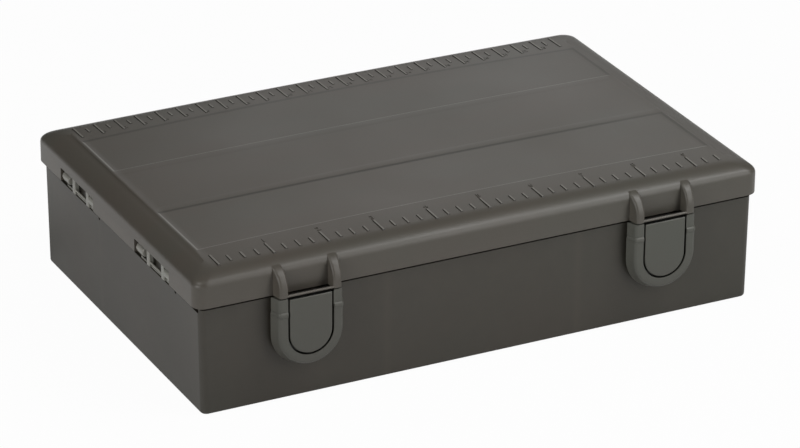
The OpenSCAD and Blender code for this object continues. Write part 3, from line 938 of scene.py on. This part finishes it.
class Finish:
    """The node tree of a material or of the room."""

    def __init__(self, holder):
        self.holder = holder
        holder.use_nodes = True
        self.tree = holder.node_tree
        self.tree.nodes.clear()

    def node(self, kind, settings=None, inputs=None, output=0):
        """Adds a node with its settings and the values or wires of its sockets."""
        made = self.tree.nodes.new(kind)
        for name, value in (settings or {}).items():
            if name == "stops":
                for stop, (place, colour) in zip(made.color_ramp.elements, value):
                    stop.position, stop.color = place, (*colour, 1)
            else:
                setattr(made, name, value)
        for key, value in (inputs or {}).items():
            if isinstance(value, Wire):
                self.tree.links.new(value.socket, made.inputs[key])
            else:
                made.inputs[key].default_value = value
        return Wire(self, made.outputs[output]) if made.outputs else None

    def place(self):
        """The point on the piece, in metres."""
        return self.node("ShaderNodeTexCoord", output="Object")

    def part(self, place, axis):
        """One coordinate of a point or direction: 0 for x, 1 for y, 2 for z."""
        return self.node("ShaderNodeSeparateXYZ", {}, {0: place}, axis)

    def noise(self, scale, detail=2.0, rough=0.5, at=None):
        return self.node(
            "ShaderNodeTexNoise", {},
            {"Vector": at or self.place(), "Scale": scale, "Detail": detail, "Roughness": rough},
        )

    def stretched(self, scale):
        """The place with its axes stretched, for streaks."""
        return self.node("ShaderNodeMapping", {}, {"Vector": self.place(), "Scale": scale})

    def fade(self, value, start, end, low=0.0, high=1.0):
        """Goes from low to high while the value goes from start to end, and no further."""
        return self.node("ShaderNodeMapRange", {}, {0: value, 1: start, 2: end, 3: low, 4: high})

    def blend(self, share, first, second):
        """Mix of two colours."""
        ends = [c if isinstance(c, Wire) else (*c, 1) for c in (first, second)]
        return self.node(
            "ShaderNodeMix", {"data_type": "RGBA"}, {0: share, 6: ends[0], 7: ends[1]}, 2
        )

    def bump(self, height, distance, strength, under=None):
        inputs = {"Height": height, "Distance": distance, "Strength": strength}
        if under:
            inputs["Normal"] = under
        return self.node("ShaderNodeBump", {}, inputs)

    def surface(self, inputs):
        """Ends a material in its one shader and hands it over."""
        shader = self.node("ShaderNodeBsdfPrincipled", {}, inputs)
        self.node("ShaderNodeOutputMaterial", {}, {"Surface": shader})
        return self.holder


def metres(length):
    return length / 1000


def shade(red, green, blue):
    """A colour given as it shows on screen, 0 to 255, as scene values."""
    def straight(value):
        value /= 255
        return value / 12.92 if value <= 0.04045 else ((value + 0.055) / 1.055) ** 2.4

    return tuple(straight(v) for v in (red, green, blue))


def times(colour, share):
    """A colour made paler or darker."""
    return tuple(v * share for v in colour)


def sink_marks(finish):
    """Painted highlight: faint pale upright streaks on the walls where the dividers' guide ribs
    stand behind them, in place of the sheen of sink marks.
    """
    across, along = (finish.part(finish.place(), i) for i in (0, 1))
    half = metres(3)
    front = 1 - abs(abs(across) - metres(DIVIDER_X)) / half
    side = 1 - abs(along - metres(DIVIDER_Y)) / half
    return front.at_least(side).at_least(0.0)


def relief(finish, tone, colour):
    """Tone of the lid's top, with painted light: a painted highlight on its small slopes that face
    the rear or the right and painted shade on those that face the other way, and paler crests on
    the ruler marks."""
    to_piece = {"vector_type": "NORMAL", "convert_from": "WORLD", "convert_to": "OBJECT"}
    face = finish.node("ShaderNodeNewGeometry", output="True Normal")
    face = finish.node("ShaderNodeVectorTransform", to_piece, {0: face})
    lean = finish.part(face, 0) + finish.part(face, 1)
    x, y, z = (finish.part(finish.place(), i) for i in range(3))

    border = finish.fade(
        abs(y), metres(BORDER_Y), metres(BORDER_Y + BORDER_W), 0.0, metres(BORDER_W)
    )
    fall = x * x * (1000 * CROWN / LID_X ** 2) + border * BORDER_TILT
    proud = (z + fall > metres(TOP_Z + 0.2)) * (abs(y) > metres(BORDER_Y))
    tone = finish.blend(proud * 0.6, tone, shade(124, 121, 115))

    in_x, in_y = abs(x) < metres(PANEL_X + 0.2), abs(y) < metres(LID_Y - 8.2)
    on_top = (z > metres(TOP_Z - 1.6)) * in_x * in_y
    # Painted light and shade: slopes that face the rear or the right are painted pale, the others
    # painted dark.
    gentle = 0.17
    pale = finish.fade(lean, gentle, 0.36)
    dark = finish.fade(0 - lean, gentle, 0.4)
    tone = finish.blend(pale * on_top, tone, shade(130, 128, 123))
    return finish.blend(dark * on_top, tone, times(colour, 0.35))


def latch_gaps(finish, tone, colour):
    """Painted shade in the latch: dark over the tongue's top, on the hook, and down in the slit
    round it.
    """
    x, y, z = (finish.part(finish.place(), i) for i in range(3))
    over = z > metres(TONGUE_TOP - 0.05)
    across = abs(abs(x) - metres(LATCH_X))
    below = (z - metres(LATCH_C)).at_most(0.0)
    in_slit = (across * across + below * below) < metres(POCKET_HALF + 0.1) ** 2
    deep = y > metres(LATCH_FRONT + 0.5)
    # Painted shade: the hook and the slit round the tongue are darkened where shade falls.
    return finish.blend(in_slit * over.at_least(deep), tone, times(colour, 0.08))


def moulded_plastic(name, colour, greener, roughness, sink_sheen=0.0, painted_light=None):
    """Satin injection moulding: faint flow clouding, a fine spark-eroded grain and rubbed edges,
    with painted sink-mark highlights and painted light and shade where they are asked for.
    """
    finish = Finish(bpy.data.materials.new(name))
    cloud = finish.noise(14, 3, 0.55)
    streak = finish.noise(9, 4, 0.6, finish.stretched((1, 3.5, 1)))
    speck = finish.noise(1400, 2, 0.6)
    fine = finish.noise(2600, 2, 0.6)
    soft = finish.noise(60)

    green_share = finish.node(
        "ShaderNodeValToRGB", {"stops": [(0.42, (0, 0, 0)), (0.66, (1, 1, 1))]}, {"Fac": streak}
    )
    tone = finish.blend(green_share, colour, greener)
    tone = finish.blend((cloud - 0.35) * 0.9, tone, times(colour, 1.1))
    tone = finish.blend((speck > 0.6) * 0.25, tone, times(colour, 0.86))
    if sink_sheen:
        # Painted highlight: pale streaks in place of the sheen of sink marks.
        tone = finish.blend(sink_marks(finish) * sink_sheen, tone, times(colour, 1.35))
    edge = finish.node("ShaderNodeNewGeometry", output="Pointiness")
    worn = finish.fade(edge, 0.515, 0.60, 0.0, 0.45)
    rubbed = tuple(min(v * 1.7 + 0.01, 1) for v in colour)
    tone = finish.blend(worn * finish.noise(160, 3), tone, rubbed)
    # Painted light and shade, for the materials that ask for it.
    if painted_light:
        tone = painted_light(finish, tone, colour)

    grain = finish.bump(fine, distance=0.00002, strength=0.35)
    return finish.surface({
        "Base Color": tone,
        "Roughness": roughness + (cloud - 0.5) * 0.14 + (fine - 0.5) * 0.1,
        "IOR": 1.47,
        "Normal": finish.bump(soft, distance=0.0004, strength=0.04, under=grain),
    })


def drawn_wire(name):
    """Hinge pin of drawn steel wire, with faint rings and dull patches."""
    finish = Finish(bpy.data.materials.new(name))
    rings = finish.noise(900, 3, 0.6, finish.stretched((6, 0.4, 0.4)))
    dull = finish.noise(120, 4)
    return finish.surface({
        "Base Color": finish.blend(dull, (0.42, 0.42, 0.42), (0.56, 0.56, 0.55)),
        "Metallic": 1.0,
        "Roughness": 0.28 + rings * 0.2,
        "Normal": finish.bump(rings, distance=0.00001, strength=0.4),
    })


# ---- Studio ----

def set_camera():
    """Camera at the photograph's angle, from its distance and with its lens."""
    frame_w, focal_px, sensor_w = 800, 4333.9, 36
    azimuth, elevation, roll = radians(-26.604), radians(24.938), radians(-0.302)
    place = Vector((-781.19, -1564.71, 839.77)) / 1000
    ahead = -Vector((
        sin(azimuth) * cos(elevation), -cos(azimuth) * cos(elevation), sin(elevation)
    ))
    right = Vector((cos(azimuth), sin(azimuth), 0))
    down = ahead.cross(right)
    across = cos(roll) * right + sin(roll) * down
    below = -sin(roll) * right + cos(roll) * down
    camera = bpy.data.objects.new("camera", bpy.data.cameras.new("camera"))
    bpy.context.scene.collection.objects.link(camera)
    camera.data.sensor_width = sensor_w
    camera.data.lens = sensor_w * focal_px / frame_w
    camera.data.clip_start, camera.data.clip_end = 0.05, 50
    axes = Matrix((across, -below, -ahead)).transposed()
    camera.matrix_world = Matrix.Translation(place) @ axes.to_4x4()
    bpy.context.scene.camera = camera


def soft_lamp(name, aim, direction, distance, size, power):
    """Soft box that faces the point it is aimed at, in metres."""
    lamp = bpy.data.objects.new(name, bpy.data.lights.new(name, "AREA"))
    bpy.context.scene.collection.objects.link(lamp)
    lamp.data.shape = "RECTANGLE"
    lamp.data.size, lamp.data.size_y = size
    lamp.data.energy = power
    way = Vector(direction).normalized()
    lamp.location = Vector(aim) + way * distance
    lamp.rotation_mode = "QUATERNION"
    lamp.rotation_quaternion = (-way).to_track_quat("-Z", "Y")


def set_lamps():
    front_right, front_left = (0.14, -0.085, 0.06), (-0.1, -0.085, 0.06)
    soft_lamp("key high", front_right, (0.42, -0.3, 0.88), 1.1, (0.38, 0.55), power=6)
    soft_lamp("key low", front_right, (0.42, -0.80, 0.42), 1.2, (0.5, 0.9), power=6.4)
    soft_lamp("rear card", (0.10, 0.0, 0.06), (0.46, 0.80, 0.38), 1.6, (0.8, 0.5), power=1.6)
    soft_lamp("left spark", front_left, (-0.45, -0.05, 0.87), 1.2, (0.26, 0.26), power=2.4)
    soft_lamp("left card", (0.0, 0.0, 0.04), (-0.90, -0.35, 0.28), 1.8, (0.9, 0.7), power=11.5)


def set_room():
    """Dim, even room."""
    world = bpy.data.worlds.new("room")
    bpy.context.scene.world = world
    room = Finish(world)
    glow = room.node("ShaderNodeBackground", {}, {"Color": (1, 1, 1, 1), "Strength": 0.08})
    room.node("ShaderNodeOutputWorld", {}, {"Surface": glow})


def set_floor():
    """Wide floor that shows white; in glossy reflections it is darker close to the box, a painted
    shade of the box.
    """
    leave()
    bpy.ops.mesh.primitive_plane_add(size=30, location=HERE)
    floor = settle()
    floor.name = "studio_floor"
    paper = Finish(bpy.data.materials.new("white paper"))
    seen = paper.node("ShaderNodeLightPath", output="Is Camera Ray")
    mirrored = paper.node("ShaderNodeLightPath", output="Is Glossy Ray")
    through = paper.node("ShaderNodeLightPath", output="Is Transmission Ray")
    tone = paper.blend(paper.noise(300, 3), (0.6, 0.6, 0.6), (0.64, 0.64, 0.64))
    matt = paper.node("ShaderNodeBsdfDiffuse", {}, {"Color": tone})
    glow = paper.node("ShaderNodeEmission", {}, {"Color": (1, 1, 1, 1), "Strength": 1.0})

    # Painted shade: the floor's glow seen in glossy reflections fades towards the box.
    box_x, box_y, fade_w = 0.13, 0.085, 0.12
    spot = paper.node("ShaderNodeVectorMath", {"operation": "ABSOLUTE"}, {0: paper.place()})
    out_x, out_y = paper.part(spot, 0) - box_x, paper.part(spot, 1) - box_y
    beside = paper.fade(out_x, 0.0, fade_w, 0.5, 0.78)
    before = paper.fade(out_y, 0.0, fade_w, 0.2, 1.0)
    off_side = out_x > out_y
    open_floor = off_side * beside + (1 - off_side) * before
    share = (seen + through) * 0.97 + mirrored * 0.95 * open_floor

    both_ways = paper.node("ShaderNodeMixShader", {}, {0: share, 1: matt, 2: glow})
    paper.node("ShaderNodeOutputMaterial", {}, {"Surface": both_ways})
    floor.data.materials.append(paper.holder)


# ---- The box ----

set_camera()
set_room()
set_lamps()
set_floor()

lid_plastic = moulded_plastic(
    "lid plastic", shade(76, 71, 64), shade(74, 72, 65), 0.4, painted_light=relief
)
base_plastic = moulded_plastic(
    "base plastic", shade(56, 52, 45), shade(54, 53, 46), 0.45, sink_sheen=0.5
)
latch_plastic = moulded_plastic(
    "latch plastic", shade(75, 74, 68), shade(74, 76, 69), 0.44, painted_light=latch_gaps
)
clip_plastic = moulded_plastic(
    "clip plastic", shade(132, 130, 123), shade(128, 130, 122), 0.36
)
pin_steel = drawn_wire("hinge pin wire")

make_lid(lid_plastic)
make_base(base_plastic)
make_latches(latch_plastic)
make_clips(clip_plastic)

for first_words, finish in (("divider", base_plastic), ("hinge_pin", pin_steel)):
    for name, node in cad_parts.items():
        if name.startswith(first_words):
            node.data.materials.clear()
            node.data.materials.append(finish)

bpy.context.scene.view_settings.view_transform = "Standard"
